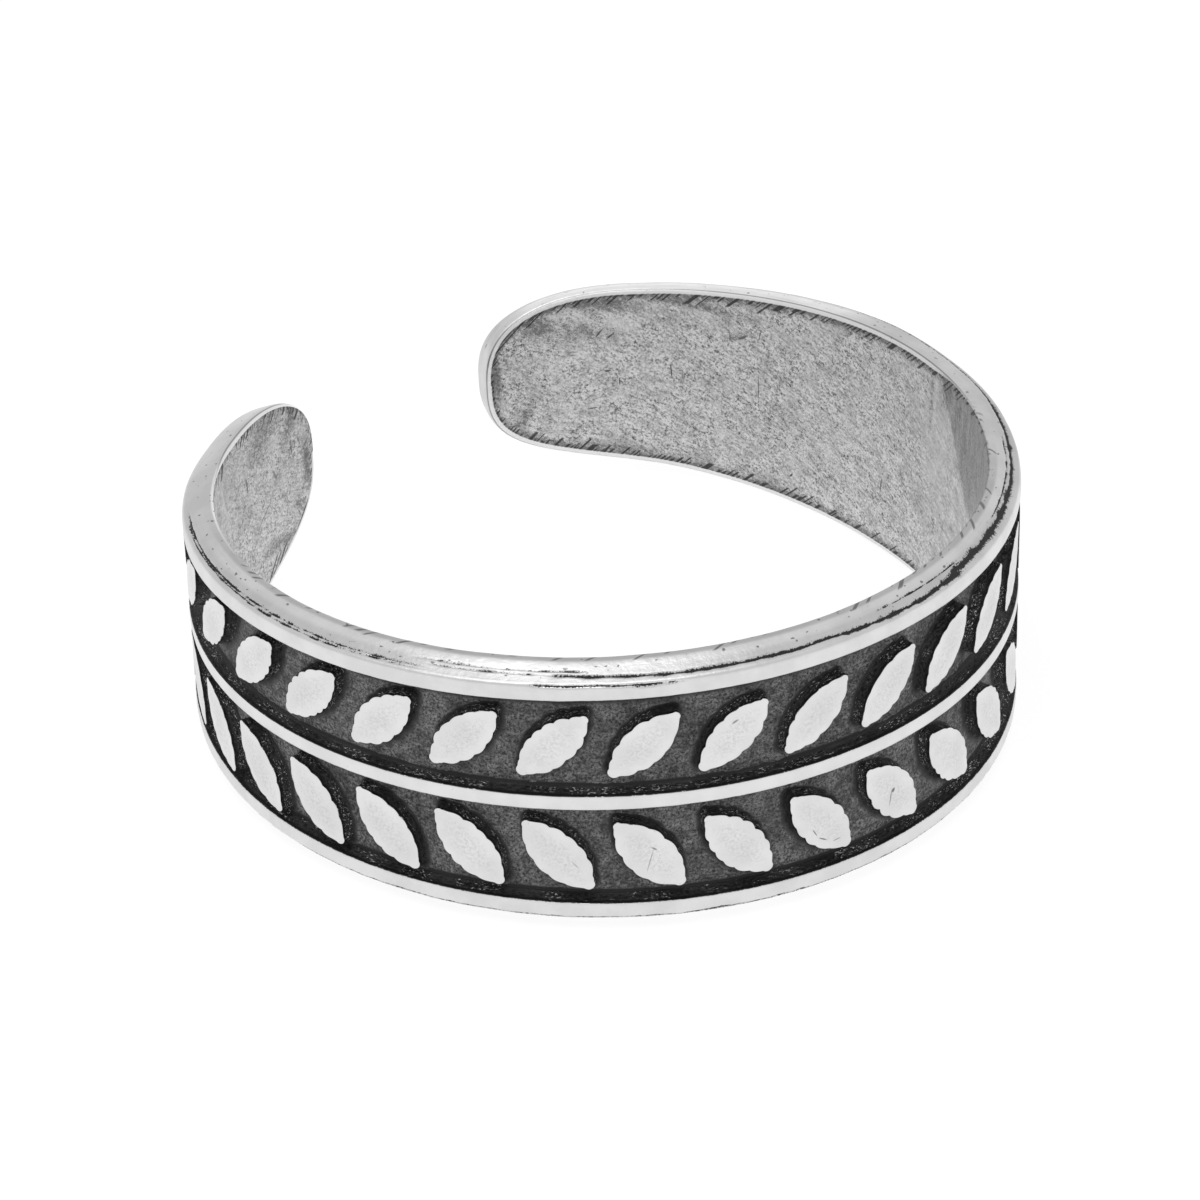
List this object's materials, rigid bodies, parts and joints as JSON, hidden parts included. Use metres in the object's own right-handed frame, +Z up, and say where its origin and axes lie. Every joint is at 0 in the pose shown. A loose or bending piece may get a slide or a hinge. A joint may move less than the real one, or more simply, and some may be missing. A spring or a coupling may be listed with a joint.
{
  "type": "toe ring",
  "caption": "Open toe ring of cast silver with round ends, two rows of raised leaves in darkened panels and a plain ridge between them.",
  "frame": {"origin": "centre of the ring's box at the level of the surface that its lower rim lies on", "axes": "+Z up out of the toe hollow, -Y toward the closed front, +Y toward the gap between the ends, +X to the right seen from the front"},
  "size_m": [0.0174, 0.0174, 0.0059],
  "materials": {
    "silver": "polished silver on the raised parts, darkened and grainy in the sunken panels"
  },
  "bodies": {
    "root": {"leaf_band": "silver"}
  },
  "joints": []
}
